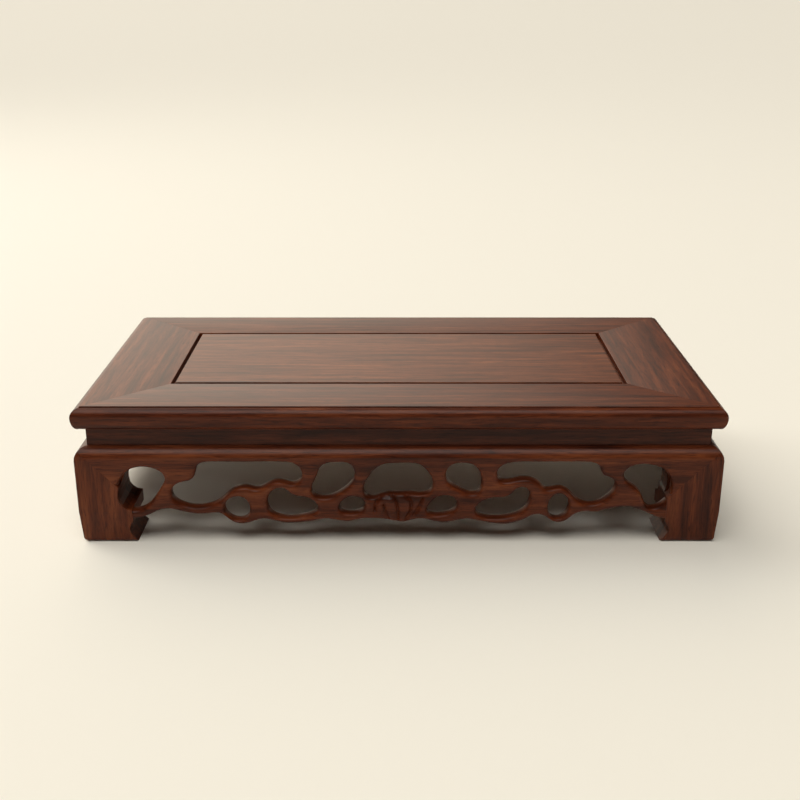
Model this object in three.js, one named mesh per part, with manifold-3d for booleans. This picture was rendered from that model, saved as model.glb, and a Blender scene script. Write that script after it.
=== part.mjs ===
// A small rosewood display stand with a recessed waist and openwork aprons.
// Millimetres, +Z up. The origin is on the floor, under the middle of the stand.
import * as THREE from 'three';
import { mergeVertices } from 'three/addons/utils/BufferGeometryUtils.js';
import Module from 'manifold-3d';

const wasm = await Module();
wasm.setup();

// Overall size
const standLength = 260;
const standDepth = 135;
const standHeight = 58.5;

// Top frame: four mitred rails round a floating panel
const frameThick = 9.3;
const longRailWidth = 30.7;
const endRailWidth = 34.6;
const noseRun = 3.3;
const noseStep = 0.5;
const noseWidest = 4;
const noseReturn = 2.6;
const panelThick = 6.5;
const panelReveal = 1.6;
const panelTongue = 3;
const panelTongueThick = 2.5;
const panelTongueDrop = 2.5;
const frameTenonWidth = 12;
const frameTenonThick = 3;
const frameTenonReach = 13;
const frameTenonDrop = 2.5;
const pegRadius = 1.2;
const pegInset = 12.5;
const battenWidth = 12;
const battenNeck = 8;
const battenDovetail = 10;
const battenPlace = 46;
const battenTenon = 4;
const dovetailDepth = 2;

// Waist boards between the frame and the aprons
const waistHeight = 7.8;
const waistInset = 4.6;
const waistThick = 6;
const waistTongueThick = 3;
const waistTongueHeight = 1.5;

// Aprons and legs
const apronThick = 6.4;
const shoulderDrop = 5;
const legWidth = 21.5;
const legTaper = 0.8;
const legTaperHeight = 14;
const footRound = 2;
const toeReach = 1.3;
const ankleHollow = 1.6;
const ankleHeight = 6.5;
const ankleTop = 9.6;
const legTenonSide = 5.5;
const legTenonHeight = 2.8;
const mitreTongueThick = 2.6;
const mitreTongueDepth = 3;
const mitreTongueEnd = 16;

// Room left between pieces that fit into each other
const clearance = 0.3;
const overlap = 1;

// Heights and half sizes that follow from the values above
const halfLength = standLength / 2;
const halfDepth = standDepth / 2;
const frameBottom = standHeight - frameThick;
const apronTop = frameBottom - waistHeight;
const panelBottom = standHeight - panelThick;
const mitreFoot = apronTop - legWidth;
const mitreTongueStart = (apronThick + mitreTongueThick) / 2 + mitreTongueDepth / Math.SQRT2 + 2 * clearance;

// The carving was drawn for this clear span and this height; it stretches with them
const drawnLongSpan = 217;
const drawnEndSpan = 92;
const drawnTop = 41.4;

// Openings of the long aprons, seen from outside, as [across, up] round each opening
const longOpenings = {
  left_eye: [[-113.6, 18], [-113.6, 23], [-111.6, 28.2], [-108, 31.6], [-103, 32.7], [-98, 31.6],
    [-94.8, 28.8], [-96.5, 25.3], [-99.5, 20.5], [-102.5, 16.6], [-106, 14.8], [-110.6, 15]],
  left_window: [[-80.3, 34.3], [-76, 34.8], [-62, 34.8], [-46, 34.8], [-41.5, 33.8], [-39.5, 30.6],
    [-40.4, 27.6], [-43, 25.9], [-46.5, 27.2], [-50, 27.6], [-54, 25.8], [-57.6, 23.6], [-61, 25],
    [-65.5, 24.6], [-69.5, 22.3], [-73, 18.8], [-77, 16.8], [-82, 16], [-86.5, 16.8], [-90, 18.4],
    [-91.8, 21.2], [-91, 24.2], [-88, 25.9], [-84, 26.6], [-81.8, 28.6], [-81.2, 32]],
  left_loop: [[-65.5, 19.8], [-62.4, 18.6], [-61.2, 15.5], [-61.6, 12.2], [-63.8, 10.5], [-66.6, 10.5],
    [-69.2, 12], [-70.6, 14.6], [-69.9, 17.2], [-68, 19.1]],
  curl_window: [[-49, 23.6], [-46.2, 23.2], [-44.8, 21.4], [-42.4, 19.9], [-39.4, 19.8], [-36.2, 18.6],
    [-33.6, 16.6], [-33.2, 14.4], [-36, 12.9], [-40, 11.7], [-45, 11.2], [-49.4, 11.9], [-52.3, 14],
    [-53, 17.4], [-52.2, 20.8]],
  slant_window: [[-29.5, 34.2], [-24.5, 34.6], [-19.8, 34.1], [-18.5, 31], [-18.8, 28], [-21, 25.2],
    [-24.3, 22.5], [-27.3, 20.7], [-31, 20], [-34.4, 21], [-35.1, 23.5], [-33.7, 26.5], [-32.3, 29.6],
    [-31.4, 32.6]],
  left_bean: [[-24.3, 14.9], [-22.4, 18.1], [-19.8, 19.8], [-16.8, 19.7], [-14.7, 18.2], [-14.1, 16],
    [-15.6, 14.1], [-18.5, 13.1], [-22, 13.3]],
  middle_window: [[-6.6, 33.7], [-2.5, 34.3], [3, 34.3], [8, 34], [10.3, 31.8], [12.6, 28.5], [13.3, 25.4],
    [12, 22.4], [8.6, 21.6], [4, 22.2], [0, 21.9], [-4, 22], [-8, 21], [-11.4, 19.8], [-13.6, 21.6],
    [-13.7, 24.6], [-12.2, 27.7], [-10, 31]],
  right_bean: [[11, 13.8], [12.9, 16.5], [14.4, 18.8], [17, 20.1], [20.2, 20.1], [22.6, 19], [23.2, 17],
    [22.6, 15], [20.4, 13.4], [17, 12.6], [13.2, 12.6]],
  heart_window: [[21.6, 33.8], [25, 34.4], [28.6, 34.1], [31.4, 32], [32.5, 29.4], [32.6, 26.6], [32.8, 24],
    [31.4, 21.8], [28.6, 21.8], [25, 23.8], [21.4, 25.8], [19.4, 28.6], [19.7, 31.8]],
  hook_window: [[31.2, 14.2], [32.8, 16.8], [36, 18.6], [39.6, 19.4], [42.6, 19.2], [45.6, 20.4],
    [47.6, 23.2], [50.4, 24.2], [52.4, 22], [52.3, 18], [50.6, 14.8], [47.5, 12.6], [43.6, 11.5],
    [38, 11.2], [33.2, 11.9]],
  right_window: [[41.6, 33.4], [46, 34.6], [58, 34.8], [72, 34.8], [78, 34.6], [80.5, 33], [80.8, 30.4],
    [82.6, 28.6], [85.6, 28], [87.2, 26], [86.6, 23.2], [84.4, 20.4], [81.2, 18], [77.4, 17.2],
    [74, 18.2], [71.4, 20.6], [68.6, 23.6], [65, 24.9], [61.8, 24.2], [59.6, 23.4], [57.8, 26],
    [54.8, 28], [51, 28.8], [47.4, 28.3], [44, 27.3], [41, 27.6], [39.9, 30.4]],
  right_loop: [[65, 21.2], [62.7, 20.2], [61.4, 17.5], [61.1, 14.5], [61.9, 11.9], [64, 10.6], [66.3, 11.4],
    [68, 13.6], [68.6, 16.5], [67.8, 19.4]],
  right_eye: [[91, 30.6], [93.6, 33], [98, 33.9], [103, 33.2], [107, 31], [109.2, 27.5], [109.6, 23.5],
    [108.2, 19.2], [105.3, 16.2], [102.2, 15.4], [100.2, 17.6], [99.2, 20.8], [97, 24], [93.6, 26.4],
    [91.4, 28.4]],
};

// Lower edge of the long aprons, left to right
const longEdge = [[-108.5, 9.8], [-104, 10.5], [-100, 12.2], [-96.5, 13.9], [-92.5, 14.1], [-88, 12.9],
  [-83, 11.9], [-77, 12], [-73.2, 12.6], [-71, 10.6], [-68, 8.2], [-64, 7.3], [-60, 8.1], [-56.5, 9.7],
  [-53, 9.5], [-48, 8], [-42, 7.7], [-36, 8.5], [-30, 9.7], [-25, 8.9], [-21, 8.4], [-15.5, 9.6],
  [-8, 9.7], [-2.5, 8.9], [1.8, 8], [5, 9.1], [9, 9.9], [14, 8.5], [18.5, 7.7], [23, 8.9], [28, 9.6],
  [34, 8.4], [40, 7.4], [46, 7.6], [51, 9.3], [55.4, 11.8], [58.6, 11.4], [61.4, 9], [65.3, 7.8],
  [69, 9.2], [72.4, 12.4], [76, 13.1], [80, 12.6], [85, 14], [90.5, 15.1], [95, 14.8], [100, 12.8],
  [104.5, 10.6], [108.5, 9.8]];

// The end aprons repeat the eyes and the middle of the long ones on a shorter span
const eyeShift = (drawnLongSpan - drawnEndSpan) / 2;
const endOpenings = {
  left_eye: moved(longOpenings.left_eye, 1, eyeShift),
  slant_window: moved(longOpenings.slant_window, 0.7, -1.5),
  left_bean: longOpenings.left_bean,
  middle_window: moved(longOpenings.middle_window, 0.85, 0),
  right_bean: longOpenings.right_bean,
  heart_window: moved(longOpenings.heart_window, 0.7, 1.5),
  right_eye: moved(longOpenings.right_eye, 1, -eyeShift),
};
const endEdge = [[-46, 9.8], [-41.5, 10.5], [-37.5, 12.2], [-34, 13.6], [-30, 13], [-26, 10.2], [-21, 8.4],
  [-15.5, 9.6], [-8, 9.7], [-2.5, 8.9], [1.8, 8], [5, 9.1], [9, 9.9], [14, 8.5], [18.5, 7.7], [23, 8.9],
  [27.5, 12.4], [32, 13.8], [37.5, 12.6], [42, 10.6], [46, 9.8]];

const waxed = { roughness: 0.42, metalness: 0 };
const rosewood = {
  frame: { color: 0x7a4632, ...waxed },
  panel: { color: 0x84503a, ...waxed },
  waist: { color: 0x6f3d2c, ...waxed },
  apron: { color: 0x7c4532, ...waxed },
  leg: { color: 0x744330, ...waxed },
  hidden: { color: 0x6a4231, roughness: 0.6, metalness: 0 },
  peg: { color: 0xb08a58, roughness: 0.6, metalness: 0 },
};

// Stretches an outline across and shifts it
function moved(outline, stretch, shift) {
  return outline.map(([across, up]) => [across * stretch + shift, up]);
}

// A smooth curve through hand-placed points, as a list of [across, up]
function smooth(outline, closed, steps = 2) {
  const points = outline.map(([across, up]) => new THREE.Vector3(across, up, 0));
  const curve = new THREE.CatmullRomCurve3(points, closed, 'centripetal');
  const spans = closed ? points.length : points.length - 1;
  const drawn = [];
  for (let i = 0; i < spans * steps; i += 1) {
    const point = curve.getPoint(i / (spans * steps));
    drawn.push([point.x, point.y]);
  }
  if (!closed) {
    drawn.push(outline.at(-1));
  }
  return drawn;
}

// A quarter of an ellipse from startDegrees, sweeping 90 degrees, as a list of points
function quarter(centreA, centreB, radiusA, radiusB, startDegrees, steps = 5) {
  const points = [];
  for (let i = 0; i <= steps; i += 1) {
    const angle = THREE.MathUtils.degToRad(startDegrees + (90 * i) / steps);
    points.push([centreA + radiusA * Math.cos(angle), centreB + radiusB * Math.sin(angle)]);
  }
  return points;
}

// A closed three.js geometry as a solid that can be joined and cut
function solidOf(geometry) {
  geometry.deleteAttribute('normal');
  geometry.deleteAttribute('uv');
  const merged = mergeVertices(geometry, 1e-5);
  return new wasm.Manifold(new wasm.Mesh({
    numProp: 3,
    vertProperties: new Float32Array(merged.attributes.position.array),
    triVerts: new Uint32Array(merged.index.array),
  }));
}

function extruded(outline, depth) {
  const shape = new THREE.Shape(outline.map(([a, b]) => new THREE.Vector2(a, b)));
  return new THREE.ExtrudeGeometry(shape, { depth, bevelEnabled: false, curveSegments: 1 });
}

// Solids extruded along Z, Y and X from an outline in the other two directions
function alongZ(outline, low, high) {
  return solidOf(extruded(outline, high - low).translate(0, 0, low));
}

function alongY(outline, low, high) {
  const turn = new THREE.Matrix4().makeBasis(
    new THREE.Vector3(1, 0, 0), new THREE.Vector3(0, 0, 1), new THREE.Vector3(0, -1, 0));
  return solidOf(extruded(outline, high - low).applyMatrix4(turn).translate(0, high, 0));
}

function alongX(outline, low, high) {
  const turn = new THREE.Matrix4().makeBasis(
    new THREE.Vector3(0, 1, 0), new THREE.Vector3(0, 0, 1), new THREE.Vector3(1, 0, 0));
  return solidOf(extruded(outline, high - low).applyMatrix4(turn).translate(low, 0, 0));
}

function block([x0, x1], [y0, y1], [z0, z1]) {
  const box = new THREE.BoxGeometry(x1 - x0, y1 - y0, z1 - z0);
  return solidOf(box.translate((x0 + x1) / 2, (y0 + y1) / 2, (z0 + z1) / 2));
}

function pin(x, y, [z0, z1], radius) {
  const cylinder = new THREE.CylinderGeometry(radius, radius, z1 - z0, 16).rotateX(Math.PI / 2);
  return solidOf(cylinder.translate(x, y, (z0 + z1) / 2));
}

// The same range with room added at both ends
function roomy([low, high], room = clearance) {
  return [low - room, high + room];
}

function turned(solid, degrees) {
  return degrees === 0 ? solid : solid.rotate([0, 0, degrees]);
}

// A named mesh whose geometry is measured from its own place
function placed(name, solid, finish, place = [0, 0, 0]) {
  const { vertProperties, triVerts } = solid.translate(place.map((value) => -value)).getMesh();
  const geometry = new THREE.BufferGeometry();
  geometry.setAttribute('position', new THREE.BufferAttribute(new Float32Array(vertProperties), 3));
  geometry.setIndex(new THREE.BufferAttribute(new Uint32Array(triVerts), 1));
  geometry.computeVertexNormals();
  const mesh = new THREE.Mesh(geometry, new THREE.MeshStandardMaterial(finish));
  mesh.name = name;
  mesh.position.set(...place);
  return mesh;
}

// Each side is drawn as the front one: half as long as `half`, its outer face at y = -face,
// and then turned about the middle of the stand.
const longSide = {
  half: halfLength, face: halfDepth, rail: longRailWidth, nextRail: endRailWidth, tenons: true,
  openings: longOpenings, edge: longEdge, drawnSpan: drawnLongSpan,
};
const endSide = {
  half: halfDepth, face: halfLength, rail: endRailWidth, nextRail: longRailWidth, tenons: false,
  openings: endOpenings, edge: endEdge, drawnSpan: drawnEndSpan,
};
const sides = [
  { name: 'front', degrees: 0, ...longSide },
  { name: 'right', degrees: 90, ...endSide },
  { name: 'back', degrees: 180, ...longSide },
  { name: 'left', degrees: 270, ...endSide },
];

// Plan of a board that is mitred against its neighbours, with half the clearance taken off each cut
function mitredPlan(side, outer, width, nextWidth) {
  const slack = (clearance / 2) * (Math.hypot(width, nextWidth) / width);
  const half = side.half - outer;
  const y = -side.face + outer;
  return [
    [-half + slack, y], [half - slack, y],
    [half - nextWidth - slack, y + width], [-half + nextWidth + slack, y + width],
  ];
}

// Tenons of the long rails run into the end rails, under the mitre
function frameTenon(sideX, sideY) {
  const inner = halfDepth - longRailWidth + frameTenonReach;
  const y = [inner - frameTenonWidth / 2, inner + frameTenonWidth / 2].map((value) => value * sideY);
  const x = [halfLength - endRailWidth + legTenonSide, halfLength - waistInset - legTaper - waistTongueThick]
    .map((value) => value * sideX);
  const top = standHeight - frameTenonDrop;
  return [x.sort((p, q) => p - q), y.sort((p, q) => p - q), [top - frameTenonThick, top]];
}

// The leg's own tenon enters the frame from below, at the mitre
function legTenon(sideX, sideY) {
  const near = legWidth - legTenonSide - overlap / 2;
  const x = [halfLength - near, halfLength - near - legTenonSide].map((value) => value * sideX);
  const y = [halfDepth - near, halfDepth - near - legTenonSide].map((value) => value * sideY);
  return [x.sort((p, q) => p - q), y.sort((p, q) => p - q), [frameBottom, frameBottom + legTenonHeight]];
}

const corners = [[-1, -1], [1, -1], [1, 1], [-1, 1]];
const pegPlace = ([sideX, sideY]) => [sideX * (halfLength - pegInset), sideY * (halfDepth - pegInset - legTenonHeight)];
const pegHeights = [frameBottom + clearance, standHeight - panelReveal];

// Sections, as [distance from the outer face, height]
function noseSection(width) {
  const middle = standHeight - noseWidest;
  return [
    [width, standHeight],
    [noseRun, standHeight],
    ...quarter(noseRun, middle, noseRun, noseWidest - noseStep, 90),
    ...quarter(noseReturn, middle, noseReturn, frameThick - noseWidest, 180).slice(1),
    [width, frameBottom],
  ];
}

function apronSection() {
  return [
    [apronThick, apronTop],
    ...quarter(waistInset, apronTop - shoulderDrop, waistInset, shoulderDrop, 90),
    [0, 0],
    [apronThick, 0],
  ];
}

// One battens' range of x and of height
function battenRange(sideX) {
  return [sideX * battenPlace - battenWidth / 2, sideX * battenPlace + battenWidth / 2];
}
const battenHeights = [frameBottom + clearance, panelBottom];
const battenHalf = halfDepth - longRailWidth + battenTenon;

// Grooves and mortises that every rail has where a neighbour enters it
function railCuts() {
  const panelHalf = [halfLength - endRailWidth + panelTongue, halfDepth - longRailWidth + panelTongue];
  const tongueTop = standHeight - panelTongueDrop;
  const cuts = [block(
    roomy([-panelHalf[0], panelHalf[0]], 2 * clearance),
    roomy([-panelHalf[1], panelHalf[1]], 2 * clearance),
    roomy([tongueTop - panelTongueThick, tongueTop], clearance / 2))];
  for (const sideX of [-1, 1]) {
    cuts.push(block(roomy(battenRange(sideX)), roomy([-battenHalf, battenHalf]), [
      frameBottom - overlap, battenHeights[1] + clearance / 2]));
  }
  for (const corner of corners) {
    const [x, y, z] = legTenon(...corner);
    cuts.push(block(roomy(x), roomy(y), [z[0] - overlap, z[1] + clearance]));
    cuts.push(pin(...pegPlace(corner), [frameBottom - overlap, pegHeights[1] + clearance], pegRadius + clearance));
  }
  for (const side of sides) {
    cuts.push(turned(waistTongue(side, clearance), side.degrees));
  }
  return cuts;
}

function waistTongue(side, room = 0) {
  const middle = waistInset + waistThick / 2;
  const outer = middle - waistTongueThick / 2 - room;
  const width = waistTongueThick + 2 * room;
  const plan = mitredPlan(side, outer, width, width);
  return alongZ(plan, frameBottom - overlap, frameBottom + waistTongueHeight + room / 2);
}

function rail(side, cuts) {
  const section = noseSection(side.rail).map(([inward, up]) => [inward - side.face, up]);
  const bar = alongX(section, -side.half, side.half);
  const plan = mitredPlan(side, 0, side.rail, side.nextRail);
  let solid = bar.intersect(alongZ(plan, frameBottom - overlap, standHeight + overlap));
  for (const corner of corners) {
    const [x, y, z] = frameTenon(...corner);
    if (side.tenons && corner[1] < 0) {
      solid = solid.add(block(x, y, z));
    }
    if (!side.tenons) {
      solid = solid.subtract(turned(block(roomy(x), roomy(y), roomy(z)), -side.degrees));
    }
  }
  for (const cut of cuts) {
    solid = solid.subtract(turned(cut, -side.degrees));
  }
  return solid;
}

function topPanel() {
  const fieldX = halfLength - endRailWidth - panelReveal;
  const fieldY = halfDepth - longRailWidth - panelReveal;
  const tongueX = halfLength - endRailWidth + panelTongue;
  const tongueY = halfDepth - longRailWidth + panelTongue;
  const tongueTop = standHeight - panelTongueDrop;
  let solid = block([-fieldX, fieldX], [-fieldY, fieldY], [panelBottom, standHeight])
    .add(block([-tongueX, tongueX], [-tongueY, tongueY], [tongueTop - panelTongueThick, tongueTop]));
  for (const sideX of [-1, 1]) {
    solid = solid.subtract(dovetail(sideX, clearance, tongueY + overlap, panelBottom - overlap));
  }
  return solid;
}

// The dovetail on a batten's back, which slides into the underside of the panel
function dovetail(sideX, room, half, low) {
  const x = sideX * battenPlace;
  const flare = (battenDovetail - battenNeck) / 2 / dovetailDepth;
  const neck = battenNeck / 2 + room - flare * (panelBottom - low);
  const top = panelBottom + dovetailDepth + (room ? room / 2 : 0);
  const tail = battenNeck / 2 + room + flare * (top - panelBottom);
  return alongY([[x - neck, low], [x + neck, low], [x + tail, top], [x - tail, top]], -half, half);
}

function batten(sideX) {
  const bar = block(battenRange(sideX), [-battenHalf, battenHalf], battenHeights);
  const tail = halfDepth - longRailWidth - panelReveal;
  return bar.add(dovetail(sideX, 0, tail, panelBottom - overlap / 2));
}

function waistBoard(side) {
  const plan = mitredPlan(side, waistInset, waistThick, waistThick);
  return alongZ(plan, apronTop, frameBottom).add(waistTongue(side));
}

// The carving's outlines, stretched to the real span and height
function fitted(outline, side) {
  const across = (2 * side.half - 2 * legWidth) / side.drawnSpan;
  const up = apronTop / drawnTop;
  return outline.map(([a, b]) => [a * across, b * up]);
}

function openingCuts(side, low, high) {
  return Object.values(side.openings).map((outline) => (
    alongY(smooth(fitted(outline, side), true), low, high)));
}

// The apron's tongue crosses the slanted joint into the leg. sideX is -1 at the left end.
function mitreTongue(side, sideX, room = 0) {
  const start = mitreTongueStart - room;
  const end = mitreTongueEnd + room;
  const reach = (mitreTongueDepth + room) / Math.SQRT2;
  const root = overlap;
  const corner = (along, out) => [
    sideX * (side.half - along + out), apronTop - along - out];
  const outline = [corner(start, reach), corner(end, reach), corner(end, -root), corner(start, -root)];
  const near = -side.face + (apronThick - mitreTongueThick) / 2;
  return alongY(outline, near - room, near + mitreTongueThick + room);
}

function apron(side) {
  const slack = clearance * Math.SQRT2;
  const inner = side.half - legWidth;
  const edge = smooth(fitted(side.edge, side), false);
  const foot = edge[0][1];
  const outline = [
    [-side.half + slack, apronTop], [-inner + clearance, mitreFoot + slack - clearance], [-inner + clearance, foot],
    ...edge.slice(1, -1),
    [inner - clearance, foot], [inner - clearance, mitreFoot + slack - clearance], [side.half - slack, apronTop],
  ];
  const section = apronSection().map(([inward, up]) => [inward - side.face, up]);
  let solid = alongY(outline, -side.face - overlap, -side.face + apronThick + overlap)
    .intersect(alongX(section, -side.half, side.half));
  const plan = mitredPlan(side, 0, apronThick, apronThick);
  solid = solid.intersect(alongZ(plan, -overlap, apronTop + overlap));
  for (const sideX of [-1, 1]) {
    solid = solid.add(mitreTongue(side, sideX));
  }
  for (const cut of openingCuts(side, -side.face - overlap, -side.face + apronThick + overlap)) {
    solid = solid.subtract(cut);
  }
  return solid;
}

// A leg's outline on each outer face, as [distance from the outer face, height]
function legOutline() {
  const ankle = smooth([
    [legWidth + toeReach, 0], [legWidth - toeReach / 4, ankleHeight / 2.6],
    [legWidth - ankleHollow, ankleHeight * 0.75], [legWidth - ankleHollow, ankleHeight],
    [legWidth, ankleTop],
  ], false, 3);
  return [
    ...quarter(legTaper + footRound, footRound, footRound, footRound, 180, 3),
    ...ankle,
    [legWidth, apronTop],
    ...quarter(waistInset, apronTop - shoulderDrop, waistInset, shoulderDrop, 90),
    [0, legTaperHeight],
  ];
}

function leg(sideX, sideY) {
  const facing = (half, sign) => legOutline().map(([inward, up]) => [sign * (half - inward), up]);
  const reach = legWidth + toeReach + overlap;
  const rangeY = [sideY * (halfDepth + overlap), sideY * (halfDepth - reach)].sort((p, q) => p - q);
  const rangeX = [sideX * (halfLength + overlap), sideX * (halfLength - reach)].sort((p, q) => p - q);
  let solid = alongY(facing(halfLength, sideX), ...rangeY)
    .intersect(alongX(facing(halfDepth, sideY), ...rangeX));
  for (const side of sides) {
    solid = solid.subtract(turned(shoulderCut(side, -1), side.degrees));
    solid = solid.subtract(turned(shoulderCut(side, 1), side.degrees));
    solid = solid.subtract(turned(mitreTongue(side, -1, clearance), side.degrees));
    solid = solid.subtract(turned(mitreTongue(side, 1, clearance), side.degrees));
    for (const cut of openingCuts(side, -side.face - overlap, -side.face + reach)) {
      solid = solid.subtract(turned(cut, side.degrees));
    }
  }
  const from = waistInset + waistThick + clearance;
  const coreX = [sideX * (halfLength - from), sideX * (halfLength - legWidth)].sort((p, q) => p - q);
  const coreY = [sideY * (halfDepth - from), sideY * (halfDepth - legWidth)].sort((p, q) => p - q);
  solid = solid.add(block(coreX, coreY, [apronTop - overlap, frameBottom]));
  const [x, y, z] = legTenon(sideX, sideY);
  return solid.add(block(x, y, [z[0] - overlap, z[1]]));
}

// Wood taken off a leg's outer face so that the apron's slanted end lies over it
function shoulderCut(side, sideX) {
  const corner = (along, up) => [sideX * (side.half - along), up];
  const beyond = legWidth + 2 * toeReach + overlap;
  return alongY([
    corner(-overlap, apronTop + overlap), corner(beyond, apronTop - beyond), corner(beyond, apronTop + overlap),
  ], -side.face - overlap, -side.face + apronThick + clearance);
}

const stand = new THREE.Group();
const cuts = railCuts();
for (const side of sides) {
  const group = new THREE.Group();
  group.rotation.z = THREE.MathUtils.degToRad(side.degrees);
  const railName = side.tenons ? `${side.name}_rail` : `${side.name}_end_rail`;
  group.add(placed(railName, rail(side, cuts), rosewood.frame, [0, -side.face, frameBottom]));
  group.add(placed(`${side.name}_waist_board`, waistBoard(side), rosewood.waist, [0, -side.face, apronTop]));
  group.add(placed(`${side.name}_apron`, apron(side), rosewood.apron, [0, -side.face, apronTop]));
  stand.add(group);
}
stand.add(placed('top_panel', topPanel(), rosewood.panel, [0, 0, panelBottom]));
stand.add(placed('left_batten', batten(-1), rosewood.hidden, [-battenPlace, 0, frameBottom]));
stand.add(placed('right_batten', batten(1), rosewood.hidden, [battenPlace, 0, frameBottom]));
for (const [sideX, sideY] of corners) {
  const where = `${sideY < 0 ? 'front' : 'back'}_${sideX < 0 ? 'left' : 'right'}`;
  const foot = [sideX * (halfLength - legWidth / 2), sideY * (halfDepth - legWidth / 2), 0];
  stand.add(placed(`${where}_leg`, leg(sideX, sideY), rosewood.leg, foot));
  const [x, y] = pegPlace([sideX, sideY]);
  stand.add(placed(`${where}_peg`, pin(x, y, pegHeights, pegRadius), rosewood.peg, [x, y, frameBottom]));
}

export default stand;
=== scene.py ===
# %% [markdown]
# A small rosewood display stand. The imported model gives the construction, and this lesson gives it its
# looks. Everything is in metres, in the model's own frame: the origin is on the floor under the middle of
# the stand.

import math

import bmesh
import bpy
from mathutils import Matrix, Vector


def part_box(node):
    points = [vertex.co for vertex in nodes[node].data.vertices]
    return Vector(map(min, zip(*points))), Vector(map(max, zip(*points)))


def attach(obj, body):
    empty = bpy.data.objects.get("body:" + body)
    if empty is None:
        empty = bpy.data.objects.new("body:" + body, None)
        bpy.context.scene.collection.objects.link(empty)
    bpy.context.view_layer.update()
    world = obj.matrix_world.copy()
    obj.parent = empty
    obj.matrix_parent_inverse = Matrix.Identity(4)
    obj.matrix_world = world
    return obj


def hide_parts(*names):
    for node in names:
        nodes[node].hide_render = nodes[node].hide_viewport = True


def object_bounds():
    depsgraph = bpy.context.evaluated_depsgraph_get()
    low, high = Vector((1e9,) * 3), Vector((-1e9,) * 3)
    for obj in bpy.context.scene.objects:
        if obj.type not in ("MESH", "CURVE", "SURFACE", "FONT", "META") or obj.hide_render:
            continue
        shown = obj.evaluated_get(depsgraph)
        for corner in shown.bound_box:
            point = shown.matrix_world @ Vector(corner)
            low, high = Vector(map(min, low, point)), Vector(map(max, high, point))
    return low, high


MM = 0.001
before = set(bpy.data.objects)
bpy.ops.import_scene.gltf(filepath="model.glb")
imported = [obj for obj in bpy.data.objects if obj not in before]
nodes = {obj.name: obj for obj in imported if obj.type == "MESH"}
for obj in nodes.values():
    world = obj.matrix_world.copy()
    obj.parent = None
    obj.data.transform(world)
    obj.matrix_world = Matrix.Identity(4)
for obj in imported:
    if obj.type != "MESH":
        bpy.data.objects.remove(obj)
cad_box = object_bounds()
print("model box", [tuple(round(c / MM, 1) for c in corner) for corner in cad_box])

# %% [markdown]
# The camera stands in front of the stand, about half a metre away, and looks 20 degrees down. Its
# distance and lens come from the way the top narrows towards the back.

# %% Camera
CAMERA_PLACE = Vector((0.4, -487.9, 215.35)) * MM
CAMERA_PITCH = 20
CAMERA_LENS = 51.4

camera = bpy.data.objects.new("camera", bpy.data.cameras.new("camera"))
bpy.context.collection.objects.link(camera)
camera.location = CAMERA_PLACE
camera.rotation_euler = (math.radians(90 - CAMERA_PITCH), 0, 0)
camera.data.lens = CAMERA_LENS
camera.data.sensor_width = 36
camera.data.clip_start = 0.01
bpy.context.scene.camera = camera
bpy.context.scene.view_settings.view_transform = "Standard"

# %% [markdown]
# A node tree is easier to read when each node is one line, so one helper adds a node, sets its values and
# joins it to what feeds it. Another turns the colours, written as sRGB hex, to linear values.


# %% Helpers for materials
def linear(hex_colour):
    """An sRGB hex colour such as '7a4632' as a linear RGBA."""
    parts = [int(hex_colour[i:i + 2], 16) / 255 for i in (0, 2, 4)]
    return tuple(p / 12.92 if p <= 0.04045 else ((p + 0.055) / 1.055) ** 2.4 for p in parts) + (1,)


def add(tree, kind, settings=None, **inputs):
    """Adds a node of one kind. An input is a value, or a socket that feeds it."""
    node = tree.nodes.new(kind)
    for name, value in (settings or {}).items():
        setattr(node, name, value)
    for name, value in inputs.items():
        socket = node.inputs[int(name[1:])] if name[1:].isdigit() else node.inputs[name.replace("_", " ")]
        if isinstance(value, bpy.types.NodeSocket):
            tree.links.new(value, socket)
        else:
            socket.default_value = value
    return node


def new_material(name):
    material = bpy.data.materials.new(name)
    material.use_nodes = True
    material.node_tree.nodes.clear()
    return material, material.node_tree


def ramp(tree, factor, stops):
    """A colour ramp through (place, colour) stops."""
    node = add(tree, "ShaderNodeValToRGB", Fac=factor)
    elements = node.color_ramp.elements
    while len(elements) < len(stops):
        elements.new(0.5)
    for element, (place, colour) in zip(elements, stops):
        element.position = place
        element.color = linear(colour)
    return node.outputs["Color"]


# %% [markdown]
# Rosewood, waxed and rubbed: a red-brown ground with darker growth lines that wander along the piece, and
# short dark pores. The grain runs along each board, so the pattern is squeezed across it and stretched
# along it. Growth lines on this wood are 1 to 2 mm apart, and the pores 0.35 mm wide and 4 mm long.

# %% Rosewood
GROWTH_SPACING = 1.3 * MM
PORE_WIDTH = 0.35 * MM


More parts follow.
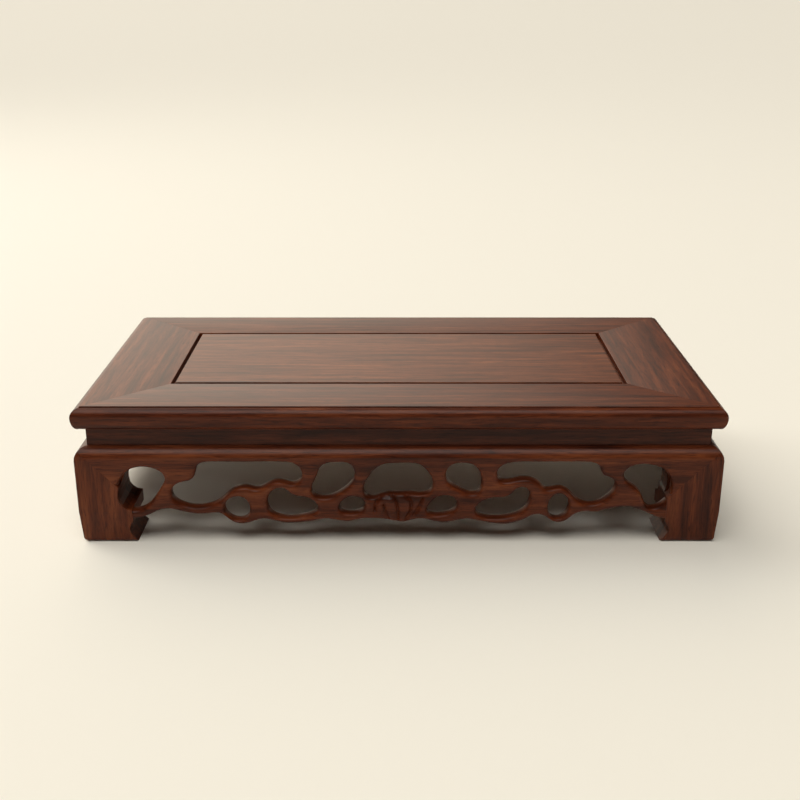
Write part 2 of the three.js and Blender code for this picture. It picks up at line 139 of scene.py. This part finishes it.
def rosewood(name, along, ground, light, dark, seed, roughness=0.33):
    """Waxed rosewood whose grain runs along one axis, 0 for X, 1 for Y and 2 for Z."""
    material, tree = new_material(name)
    place = add(tree, "ShaderNodeTexCoord").outputs["Object"]
    squeeze = [1.0, 1.0, 1.0]
    squeeze[along] = 0.06
    shift = (seed * 0.37, seed * 0.21, seed * 0.13)
    flow = add(tree, "ShaderNodeMapping", Vector=place, Scale=squeeze, Location=shift).outputs[0]
    bands = add(tree, "ShaderNodeTexNoise", Vector=flow, Scale=0.35 / GROWTH_SPACING, Detail=3.0,
                Roughness=0.55, Distortion=0.6).outputs["Fac"]
    lines = add(tree, "ShaderNodeTexNoise", Vector=flow, Scale=1 / GROWTH_SPACING, Detail=4.0,
                Roughness=0.6, Distortion=0.9).outputs["Fac"]
    pores = add(tree, "ShaderNodeTexNoise", Vector=flow, Scale=1 / PORE_WIDTH, Detail=2.0).outputs["Fac"]
    body = ramp(tree, bands, [(0.3, dark), (0.5, ground), (0.72, light)])
    streaks = ramp(tree, lines, [(0.38, "5a2e20"), (0.47, "b9a096"), (0.56, "ffffff")])
    streaked = add(tree, "ShaderNodeMix", {"data_type": "RGBA", "blend_type": "MULTIPLY"},
                   _0=0.42, _6=body, _7=streaks).outputs[2]
    specks = ramp(tree, pores, [(0.34, "6b4436"), (0.44, "ffffff")])
    colour = add(tree, "ShaderNodeMix", {"data_type": "RGBA", "blend_type": "MULTIPLY"},
                 _0=0.6, _6=streaked, _7=specks).outputs[2]
    dent = add(tree, "ShaderNodeBump", Strength=0.12, Distance=0.05 * MM, Height=pores).outputs[0]
    shader = add(tree, "ShaderNodeBsdfPrincipled", Base_Color=colour, Normal=dent, Roughness=roughness,
                 IOR=1.5)
    shader.inputs["Specular IOR Level"].default_value = 0.18
    add(tree, "ShaderNodeOutputMaterial", Surface=shader.outputs[0])
    return material


GROUND, LIGHT, DARK = "5e2b15", "783f22", "3f190b"
wood = {
    "x": rosewood("waxed_rosewood_lengthways", 0, GROUND, LIGHT, DARK, 1),
    "y": rosewood("waxed_rosewood_crossways", 1, GROUND, LIGHT, DARK, 2),
    "z": rosewood("waxed_rosewood_upright", 2, GROUND, LIGHT, DARK, 3),
    # The panel is a lighter copy of the same rosewood: painted light, for the top that faces the light.
    "panel": rosewood("rosewood_panel_painted_lighter", 0, "6a351b", "814727", "4c230f", 4),
    # The waist boards are a darker copy of the same rosewood: painted shade, for the recess under the
    # frame's nose.
    "waist": rosewood("rosewood_waist_painted_shade", 0, "4a2010", "5c2c18", "331308", 5),
}

# %% [markdown]
# Each side of the stand is the same work on another length, so a side is drawn once as the front one,
# with its outer face towards the viewer, and turned to its place. Sizes come from the model: the boxes of
# its pieces.

# %% Sizes from the model
LENGTH_HALF, DEPTH_HALF, TOP = [round(c / MM, 2) for c in cad_box[1]]
FRAME_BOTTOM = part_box("front_rail")[0].z / MM
APRON_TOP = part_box("front_apron")[1].z / MM
APRON_THICK = (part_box("front_apron")[1].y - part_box("front_apron")[0].y) / MM
LEG_WIDTH = 21.5
WAIST_INSET = (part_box("front_waist_board")[0].y - cad_box[0].y) / MM
LONG_RAIL = (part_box("front_rail")[1].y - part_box("front_rail")[0].y) / MM
END_RAIL = (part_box("left_end_rail")[1].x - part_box("left_end_rail")[0].x) / MM
HAIRLINE = 0.03
print("half length", LENGTH_HALF, "half depth", DEPTH_HALF, "top", TOP, "apron", round(APRON_THICK, 2))

SIDES = {
    "front": dict(turn=0, half=LENGTH_HALF, face=DEPTH_HALF, rail=LONG_RAIL, next_rail=END_RAIL, grain="x"),
    "right": dict(turn=90, half=DEPTH_HALF, face=LENGTH_HALF, rail=END_RAIL, next_rail=LONG_RAIL, grain="y"),
    "back": dict(turn=180, half=LENGTH_HALF, face=DEPTH_HALF, rail=LONG_RAIL, next_rail=END_RAIL, grain="x"),
    "left": dict(turn=270, half=DEPTH_HALF, face=LENGTH_HALF, rail=END_RAIL, next_rail=LONG_RAIL, grain="y"),
}

# %% [markdown]
# A bmesh is built in millimetres, because the sizes are known that way, and turned to metres when it is
# finished.


# %% Helpers for pieces
def to_object(bm, name, turn=0):
    """A finished bmesh, in millimetres, as an object in its place."""
    bmesh.ops.rotate(bm, verts=bm.verts, cent=(0, 0, 0), matrix=Matrix.Rotation(math.radians(turn), 3, "Z"))
    bmesh.ops.scale(bm, vec=(MM, MM, MM), verts=bm.verts)
    bmesh.ops.recalc_face_normals(bm, faces=bm.faces)
    mesh = bpy.data.meshes.new(name)
    bm.to_mesh(mesh)
    bm.free()
    obj = bpy.data.objects.new(name, mesh)
    bpy.context.collection.objects.link(obj)
    return obj


def settle(obj, node, material):
    """Gives a finished piece its material, and puts it in the place of its node."""
    obj.data.materials.clear()
    obj.data.materials.append(material)
    obj.data.shade_smooth()
    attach(obj, "root")
    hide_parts(node)
    return obj


def prism(outline, low, high, axis):
    """A bmesh extruded along Z, Y or X from an outline in the other two directions."""
    spots = {"z": lambda a, b: (a, b, low), "y": lambda a, b: (a, low, b), "x": lambda a, b: (low, a, b)}
    away = {"z": (0, 0, high - low), "y": (0, high - low, 0), "x": (high - low, 0, 0)}
    bm = bmesh.new()
    face = bm.faces.new([bm.verts.new(spots[axis](a, b)) for a, b in outline])
    grown = bmesh.ops.extrude_face_region(bm, geom=[face])
    verts = [v for v in grown["geom"] if isinstance(v, bmesh.types.BMVert)]
    bmesh.ops.translate(bm, vec=away[axis], verts=verts)
    bmesh.ops.recalc_face_normals(bm, faces=bm.faces)
    return bm


def combine(obj, cutter, operation):
    """Cuts or joins two closed meshes, applies the result, and removes the cutter."""
    modifier = obj.modifiers.new("cut", "BOOLEAN")
    modifier.operation = operation
    modifier.solver = "MANIFOLD"
    modifier.object = cutter
    apply_modifiers(obj)
    bpy.data.objects.remove(cutter)


def apply_modifiers(obj):
    shown = obj.evaluated_get(bpy.context.evaluated_depsgraph_get())
    mesh = bpy.data.meshes.new_from_object(shown)
    obj.modifiers.clear()
    obj.data = mesh


def arc(centre, radii, start, steps=16):
    """A quarter of an ellipse as (a, b) points, from the start angle in degrees."""
    angles = [math.radians(start + 90 * i / steps) for i in range(steps + 1)]
    return [(centre[0] + radii[0] * math.cos(t), centre[1] + radii[1] * math.sin(t)) for t in angles]


# %% [markdown]
# The frame rails have a thumb moulding: a flat top, a fine step down, then a full round that returns
# under the edge. One section is extruded along the rail, and both ends are cut off along the mitres, so
# the four rails meet in a hairline from corner to corner.

# %% Frame rails
NOSE_RUN, NOSE_STEP, NOSE_WIDEST, NOSE_RETURN = 3.3, 0.5, 4.0, 2.6
EDGE_EASE = 0.35


def rail_section(width):
    middle = TOP - NOSE_WIDEST
    thick = TOP - FRAME_BOTTOM
    corner = (width - EDGE_EASE * 0.3, TOP - EDGE_EASE * 0.3)
    ease = [(width - EDGE_EASE, TOP), corner, (width, TOP - EDGE_EASE)]
    return (
        [(width, FRAME_BOTTOM)] + ease[::-1] + [(NOSE_RUN + 0.15, TOP), (NOSE_RUN, TOP - 0.15)]
        + arc((NOSE_RUN, middle), (NOSE_RUN, NOSE_WIDEST - NOSE_STEP), 90)
        + arc((NOSE_RETURN, middle), (NOSE_RETURN, thick - NOSE_WIDEST), 180)[1:]
    )


def cut_ends(bm, half, face, width, next_width):
    """Cuts both ends along the mitre that runs from the outer corner to the inner one."""
    for end in (-1, 1):
        along = Vector((-end * next_width, width, 0)).normalized()
        normal = Vector((along.y, -along.x, 0)) * end
        corner = Vector((end * (half - HAIRLINE), -face, 0))
        geometry = bm.verts[:] + bm.edges[:] + bm.faces[:]
        cut = bmesh.ops.bisect_plane(bm, geom=geometry, plane_co=corner, plane_no=normal, clear_outer=True)
        rim = [e for e in cut["geom_cut"] if isinstance(e, bmesh.types.BMEdge)]
        bmesh.ops.holes_fill(bm, edges=rim, sides=0)


def sharpen(obj, degrees=35):
    """Smooth shading with real corners kept."""
    obj.data.set_sharp_from_angle(angle=math.radians(degrees))


for name, side in SIDES.items():
    node = f"{name}_rail" if side["grain"] == "x" else f"{name}_end_rail"
    section = [(inward - side["face"], up) for inward, up in rail_section(side["rail"])]
    bm = prism(section, -side["half"], side["half"], "x")
    cut_ends(bm, side["half"], side["face"], side["rail"], side["next_rail"])
    rail = settle(to_object(bm, f"{node}_moulded", side["turn"]), node, wood[side["grain"]])
    sharpen(rail)
print("rails moulded, groove", round(NOSE_RUN, 1), "mm from the edge")

# %% [markdown]
# The aprons are sawn right through and then carved round. A flat curve does the sawing, and its holes are
# the windows. A voxel remesh turns the board into a fine even grid, and smoothing that grid rounds every
# edge of the wood, as a carver's file and sandpaper do. Filing takes a little waste off all round. The
# blank is longer and higher than the board, so that its ends and its top can be cut sharp afterwards. The
# outlines are those of the model's construction.

# %% The carving, as (across, up) round each window, seen from outside, in millimetres
LONG_WINDOWS = {
    "left_eye": [[-113.6, 18], [-113.6, 23], [-111.6, 28.2], [-108, 31.6], [-103, 32.7], [-98, 31.6],
        [-94.8, 28.8], [-96.5, 25.3], [-99.5, 20.5], [-102.5, 16.6], [-106, 14.8], [-110.6, 15]],
    "left_window": [[-80.3, 34.3], [-76, 34.8], [-62, 34.8], [-46, 34.8], [-41.5, 33.8], [-39.5, 30.6],
        [-40.4, 27.6], [-43, 25.9], [-46.5, 27.2], [-50, 27.6], [-54, 25.8], [-57.6, 23.6], [-61, 25],
        [-65.5, 24.6], [-69.5, 22.3], [-73, 18.8], [-77, 16.8], [-82, 16], [-86.5, 16.8], [-90, 18.4],
        [-91.8, 21.2], [-91, 24.2], [-88, 25.9], [-84, 26.6], [-81.8, 28.6], [-81.2, 32]],
    "left_loop": [[-65.5, 19.8], [-62.4, 18.6], [-61.2, 15.5], [-61.6, 12.2], [-63.8, 10.5], [-66.6, 10.5],
        [-69.2, 12], [-70.6, 14.6], [-69.9, 17.2], [-68, 19.1]],
    "curl_window": [[-49, 23.6], [-46.2, 23.2], [-44.8, 21.4], [-42.4, 19.9], [-39.4, 19.8], [-36.2, 18.6],
        [-33.6, 16.6], [-33.2, 14.4], [-36, 12.9], [-40, 11.7], [-45, 11.2], [-49.4, 11.9], [-52.3, 14],
        [-53, 17.4], [-52.2, 20.8]],
    "slant_window": [[-29.5, 34.2], [-24.5, 34.6], [-19.8, 34.1], [-18.5, 31], [-18.8, 28], [-21, 25.2],
        [-24.3, 22.5], [-27.3, 20.7], [-31, 20], [-34.4, 21], [-35.1, 23.5], [-33.7, 26.5], [-32.3, 29.6],
        [-31.4, 32.6]],
    "left_bean": [[-24.3, 14.9], [-22.4, 18.1], [-19.8, 19.8], [-16.8, 19.7], [-14.7, 18.2], [-14.1, 16],
        [-15.6, 14.1], [-18.5, 13.1], [-22, 13.3]],
    "middle_window": [[-6.6, 33.7], [-2.5, 34.3], [3, 34.3], [8, 34], [10.3, 31.8], [12.6, 28.5],
        [13.3, 25.4],
        [12, 22.4], [8.6, 21.6], [4, 22.2], [0, 21.9], [-4, 22], [-8, 21], [-11.4, 19.8], [-13.6, 21.6],
        [-13.7, 24.6], [-12.2, 27.7], [-10, 31]],
    "right_bean": [[11, 13.8], [12.9, 16.5], [14.4, 18.8], [17, 20.1], [20.2, 20.1], [22.6, 19], [23.2, 17],
        [22.6, 15], [20.4, 13.4], [17, 12.6], [13.2, 12.6]],
    "heart_window": [[21.6, 33.8], [25, 34.4], [28.6, 34.1], [31.4, 32], [32.5, 29.4], [32.6, 26.6],
        [32.8, 24],
        [31.4, 21.8], [28.6, 21.8], [25, 23.8], [21.4, 25.8], [19.4, 28.6], [19.7, 31.8]],
    "hook_window": [[31.2, 14.2], [32.8, 16.8], [36, 18.6], [39.6, 19.4], [42.6, 19.2], [45.6, 20.4],
        [47.6, 23.2], [50.4, 24.2], [52.4, 22], [52.3, 18], [50.6, 14.8], [47.5, 12.6], [43.6, 11.5],
        [38, 11.2], [33.2, 11.9]],
    "right_window": [[41.6, 33.4], [46, 34.6], [58, 34.8], [72, 34.8], [78, 34.6], [80.5, 33], [80.8, 30.4],
        [82.6, 28.6], [85.6, 28], [87.2, 26], [86.6, 23.2], [84.4, 20.4], [81.2, 18], [77.4, 17.2],
        [74, 18.2], [71.4, 20.6], [68.6, 23.6], [65, 24.9], [61.8, 24.2], [59.6, 23.4], [57.8, 26],
        [54.8, 28], [51, 28.8], [47.4, 28.3], [44, 27.3], [41, 27.6], [39.9, 30.4]],
    "right_loop": [[65, 21.2], [62.7, 20.2], [61.4, 17.5], [61.1, 14.5], [61.9, 11.9], [64, 10.6],
        [66.3, 11.4],
        [68, 13.6], [68.6, 16.5], [67.8, 19.4]],
    "right_eye": [[91, 30.6], [93.6, 33], [98, 33.9], [103, 33.2], [107, 31], [109.2, 27.5], [109.6, 23.5],
        [108.2, 19.2], [105.3, 16.2], [102.2, 15.4], [100.2, 17.6], [99.2, 20.8], [97, 24], [93.6, 26.4],
        [91.4, 28.4]],
}

# Lower edge of the long aprons, left to right
LONG_EDGE = [[-108.5, 9.8], [-104, 10.5], [-100, 12.2], [-96.5, 13.9], [-92.5, 14.1], [-88, 12.9],
  [-83, 11.9], [-77, 12], [-73.2, 12.6], [-71, 10.6], [-68, 8.2], [-64, 7.3], [-60, 8.1], [-56.5, 9.7],
  [-53, 9.5], [-48, 8], [-42, 7.7], [-36, 8.5], [-30, 9.7], [-25, 8.9], [-21, 8.4], [-15.5, 9.6],
  [-8, 9.7], [-2.5, 8.9], [1.8, 8], [5, 9.1], [9, 9.9], [14, 8.5], [18.5, 7.7], [23, 8.9], [28, 9.6],
  [34, 8.4], [40, 7.4], [46, 7.6], [51, 9.3], [55.4, 11.8], [58.6, 11.4], [61.4, 9], [65.3, 7.8],
  [69, 9.2], [72.4, 12.4], [76, 13.1], [80, 12.6], [85, 14], [90.5, 15.1], [95, 14.8], [100, 12.8],
  [104.5, 10.6], [108.5, 9.8]]


DRAWN_LONG_SPAN, DRAWN_END_SPAN = 217, 92
EYE_SHIFT = (DRAWN_LONG_SPAN - DRAWN_END_SPAN) / 2


def moved(outline, stretch, shift):
    return [(across * stretch + shift, up) for across, up in outline]


END_WINDOWS = {
    "left_eye": moved(LONG_WINDOWS["left_eye"], 1, EYE_SHIFT),
    "slant_window": moved(LONG_WINDOWS["slant_window"], 0.7, -1.5),
    "left_bean": LONG_WINDOWS["left_bean"],
    "middle_window": moved(LONG_WINDOWS["middle_window"], 0.85, 0),
    "right_bean": LONG_WINDOWS["right_bean"],
    "heart_window": moved(LONG_WINDOWS["heart_window"], 0.7, 1.5),
    "right_eye": moved(LONG_WINDOWS["right_eye"], 1, -EYE_SHIFT),
}
END_EDGE = [[-46, 9.8], [-41.5, 10.5], [-37.5, 12.2], [-34, 13.6], [-30, 13], [-26, 10.2], [-21, 8.4],
  [-15.5, 9.6], [-8, 9.7], [-2.5, 8.9], [1.8, 8], [5, 9.1], [9, 9.9], [14, 8.5], [18.5, 7.7], [23, 8.9],
  [27.5, 12.4], [32, 13.8], [37.5, 12.6], [42, 10.6], [46, 9.8]]


# %% Carved aprons
VOXEL = 0.5
SANDING_PASSES = 130
WASTE = 0.6
SPARE = 6
SHOULDER_DROP = 5


def drawn(outline, closed, steps=6):
    """A smooth line through the given points: a centripetal Catmull-Rom curve, as in the model."""
    points = [Vector(point) for point in outline]
    if closed:
        points = [points[-1], *points, points[0], points[1]]
    else:
        points = [points[0] * 2 - points[1], *points, points[-1] * 2 - points[-2]]
    line = []
    for p0, p1, p2, p3 in zip(points, points[1:], points[2:], points[3:]):
        t1 = (p1 - p0).length ** 0.5
        t2 = t1 + (p2 - p1).length ** 0.5
        t3 = t2 + (p3 - p2).length ** 0.5
        for i in range(steps):
            t = t1 + (t2 - t1) * i / steps
            a1 = p0.lerp(p1, t / t1)
            a2 = p1.lerp(p2, (t - t1) / (t2 - t1))
            a3 = p2.lerp(p3, (t - t2) / (t3 - t2))
            b1 = a1.lerp(a2, t / t2)
            b2 = a2.lerp(a3, (t - t1) / (t3 - t1))
            line.append(tuple(b1.lerp(b2, (t - t1) / (t2 - t1))))
    if not closed:
        line.append(tuple(outline[-1]))
    return line


def sawn_board(outline, windows, thick):
    """A board with sawn windows, flat in the XY plane, as a mesh."""
    curve = bpy.data.curves.new("sawn", "CURVE")
    curve.dimensions = "2D"
    curve.fill_mode = "BOTH"
    curve.extrude = thick / 2
    for points in [outline, *windows]:
        spline = curve.splines.new("POLY")
        spline.points.add(len(points) - 1)
        for point, (across, up) in zip(spline.points, points):
            point.co = (across, up, 0, 1)
        spline.use_cyclic_u = True
    obj = bpy.data.objects.new("sawn", curve)
    bpy.context.collection.objects.link(obj)
    bpy.context.view_layer.update()
    mesh = bpy.data.meshes.new_from_object(obj.evaluated_get(bpy.context.evaluated_depsgraph_get()))
    bpy.data.objects.remove(obj)
    return mesh


def carved_blank(name, side, windows, edge):
    """The sanded blank of one apron, standing at the front, in millimetres."""
    beyond, low, high = side["half"] + SPARE, edge[0][1], APRON_TOP + SPARE
    outline = [(-beyond, low)] + drawn(edge, False) + [(beyond, low), (beyond, high), (-beyond, high)]
    mesh = sawn_board(outline, [drawn(points, True) for points in windows.values()],
                      APRON_THICK + 2 * WASTE)
    bm = bmesh.new()
    bm.from_mesh(mesh)
    bmesh.ops.remove_doubles(bm, verts=bm.verts, dist=0.001)
    stand_up = Matrix.Rotation(math.radians(90), 3, "X")
    bmesh.ops.rotate(bm, verts=bm.verts, cent=(0, 0, 0), matrix=stand_up)
    bmesh.ops.translate(bm, verts=bm.verts, vec=(0, -side["face"] + APRON_THICK / 2, 0))
    bmesh.ops.recalc_face_normals(bm, faces=bm.faces)
    obj = bpy.data.objects.new(name, bpy.data.meshes.new(name))
    bm.to_mesh(obj.data)
    bm.free()
    bpy.context.collection.objects.link(obj)
    remesh = obj.modifiers.new("grid", "REMESH")
    remesh.mode = "VOXEL"
    remesh.voxel_size = VOXEL
    sanding = obj.modifiers.new("sanding", "SMOOTH")
    sanding.factor = 0.5
    sanding.iterations = SANDING_PASSES
    filing = obj.modifiers.new("filing", "DISPLACE")
    filing.mid_level = 0
    filing.strength = -WASTE
    apply_modifiers(obj)
    return obj


def scratch_object(bm, name="cutter"):
    mesh = bpy.data.meshes.new(name)
    bm.to_mesh(mesh)
    bm.free()
    obj = bpy.data.objects.new(name, mesh)
    bpy.context.collection.objects.link(obj)
    return obj


# %% [markdown]
# The flower in the middle of the long aprons has folds cut with a small round gouge. The grid is fine
# enough to press them in: a point of the outer face goes in by a bell curve of its distance to the
# nearest fold.

# %% Folds of the flower
FOLD_DEPTH, FOLD_WIDTH = 1.3, 0.75
FOLDS = [
    [(-9.8, 14.5), (-9.2, 18), (-6.8, 20.6), (-3.8, 20.2)],
    [(-6.3, 16.6), (-5.6, 13.5), (-4.2, 11)],
    [(-2.4, 21), (-0.8, 17), (-0.3, 10.6)],
    [(2.6, 21.5), (4.8, 18.6), (4.6, 14), (2.8, 10.6)],
    [(9.6, 19.5), (8.2, 16), (6.2, 13)],
]


def carve_folds(obj, face):
    """Presses the folds into the outer face of a board that stands at the front."""
    lines = [[Vector(point) for point in drawn(fold, False)] for fold in FOLDS]
    bm = bmesh.new()
    bm.from_mesh(obj.data)
    for vert in bm.verts:
        spot = Vector((vert.co.x, vert.co.z))
        if abs(spot.x) > 14 or not 8 < spot.y < 24 or vert.co.y > -face + APRON_THICK / 2:
            continue
        near = min((spot - point).length for line in lines for point in line)
        vert.co.y += FOLD_DEPTH * math.exp(-(near / FOLD_WIDTH) ** 2)
    bm.to_mesh(obj.data)
    bm.free()


# %% Aprons
for name, side in SIDES.items():
    long_side = side["grain"] == "x"
    windows, edge = (LONG_WINDOWS, LONG_EDGE) if long_side else (END_WINDOWS, END_EDGE)
    board = carved_blank(f"{name}_apron_carved", side, windows, edge)
    half, face = side["half"], side["face"]
    if long_side:
        carve_folds(board, face)
    inner, mitre_foot = half - LEG_WIDTH, APRON_TOP - LEG_WIDTH
    outline = [(-half + HAIRLINE, APRON_TOP), (-inner + HAIRLINE, mitre_foot), (-inner + HAIRLINE, 0),
               (inner - HAIRLINE, 0), (inner - HAIRLINE, mitre_foot), (half - HAIRLINE, APRON_TOP)]
    combine(board, scratch_object(prism(outline, -face - 1, -face + APRON_THICK + 1, "y")), "INTERSECT")
    shoulder = arc((WAIST_INSET, APRON_TOP - SHOULDER_DROP), (WAIST_INSET, SHOULDER_DROP), 90)
    section = [(APRON_THICK + 1, APRON_TOP)] + shoulder + [(0, 0), (APRON_THICK + 1, 0)]
    ovolo = prism([(inward - face, up) for inward, up in section], -half, half, "x")
    cut_ends(ovolo, half, face, APRON_THICK, APRON_THICK)
    combine(board, scratch_object(ovolo), "INTERSECT")
    bm = bmesh.new()
    bm.from_mesh(board.data)
    bpy.data.objects.remove(board)
    finished = to_object(bm, f"{name}_apron_carved", side["turn"])
    settle(finished, f"{name}_apron", wood[side["grain"]])
    sharpen(finished, 45)
    print(name, "apron", len(finished.data.polygons), "faces")

# %% [markdown]
# Legs, panel, waist boards, battens and pegs keep the model's shape. A small live bevel eases the panel's
# edges, as a few strokes of fine paper do, and grain runs along each piece.

# %% Finish the pieces that keep their shape
EASE = 0.35 * MM
for name, node in nodes.items():
    if node.hide_render:
        continue
    if "leg" in name or "peg" in name:
        material = wood["z"]
    elif name == "top_panel":
        # the lighter copy of the rosewood: painted light on the top
        material = wood["panel"]
    elif "batten" in name or name.startswith(("left", "right")):
        material = wood["y"]
    else:
        # the darker copy of the rosewood: painted shade in the recess under the frame
        material = wood["waist"]
    node.data.materials.clear()
    node.data.materials.append(material)
    if name == "top_panel":
        weld = node.modifiers.new("weld", "WELD")
        weld.merge_threshold = 0.001 * MM
        bevel = node.modifiers.new("ease", "BEVEL")
        bevel.width = EASE
        bevel.segments = 2
        bevel.limit_method = "ANGLE"
print(len(nodes), "nodes in the model")

# %% [markdown]
# A wide pale floor that reaches to the horizon, a soft lamp on the left, and daylight through a wide
# cloth above.

# %% Floor and light
FLOOR_SIZE = 200.0
bm = bmesh.new()
bmesh.ops.create_grid(bm, x_segments=1, y_segments=1, size=FLOOR_SIZE / 2)
floor_mesh = bpy.data.meshes.new("floor")
bm.to_mesh(floor_mesh)
bm.free()
floor = bpy.data.objects.new("floor", floor_mesh)
bpy.context.collection.objects.link(floor)
paper, tree = new_material("pale_paper")
seen = add(tree, "ShaderNodeBsdfPrincipled", Base_Color=linear("efece2"), Roughness=0.9)
add(tree, "ShaderNodeOutputMaterial", Surface=seen.outputs[0])
floor.data.materials.append(paper)


def lamp(name, place, size, power, colour="ffffff"):
    """A square area lamp that faces the middle of the stand."""
    light = bpy.data.lights.new(name, "AREA")
    light.size = size
    light.energy = power
    light.color = linear(colour)[:3]
    obj = bpy.data.objects.new(name, light)
    bpy.context.collection.objects.link(obj)
    obj.location = place
    obj.rotation_euler = (Vector((0, 0, 0.03)) - Vector(place)).to_track_quat("-Z", "Y").to_euler()


lamp("window", (-1.3, 0.5, 1.0), 0.8, 7.0, "fffaf0")


def sky_light(name, way, energy, spread):
    """Light from everywhere round one direction, as through a wide cloth; way is where it goes."""
    light = bpy.data.lights.new(name, "SUN")
    light.energy = energy
    light.angle = math.radians(spread)
    light.color = linear("fffcf6")[:3]
    obj = bpy.data.objects.new(name, light)
    bpy.context.collection.objects.link(obj)
    obj.rotation_euler = Vector(way).to_track_quat("-Z", "Y").to_euler()


sky_light("daylight_from_left", (0.5, -0.2, -0.95), 0.7, 36)
sky_light("cloth_above", (0.1, 0.5, -1.2), 1.7, 44)

# %% [markdown]
# The room has one bright window behind the stand on the left, and is dim in front, so the top shines,
# most at its left end, and the carved sides stay dark.

# %% Room
ROOM_BRIGHT, ROOM_DIM = 2.4, 0.04
world = bpy.data.worlds.new("room")
bpy.context.scene.world = world
world.use_nodes = True
tree = world.node_tree
tree.nodes.clear()
way = add(tree, "ShaderNodeTexCoord").outputs["Generated"]
bright_side = (-0.38, 0.82, 0.43)
dot = add(tree, "ShaderNodeVectorMath", {"operation": "DOT_PRODUCT"}, _0=way, _1=bright_side)
toward = dot.outputs["Value"]
glow = add(tree, "ShaderNodeMapRange", Value=toward, From_Min=0.78, From_Max=0.98, To_Min=ROOM_DIM,
           To_Max=ROOM_BRIGHT).outputs[0]
room = add(tree, "ShaderNodeBackground", Color=linear("fdf0dc"), Strength=glow)
add(tree, "ShaderNodeOutputWorld", Surface=room.outputs[0])
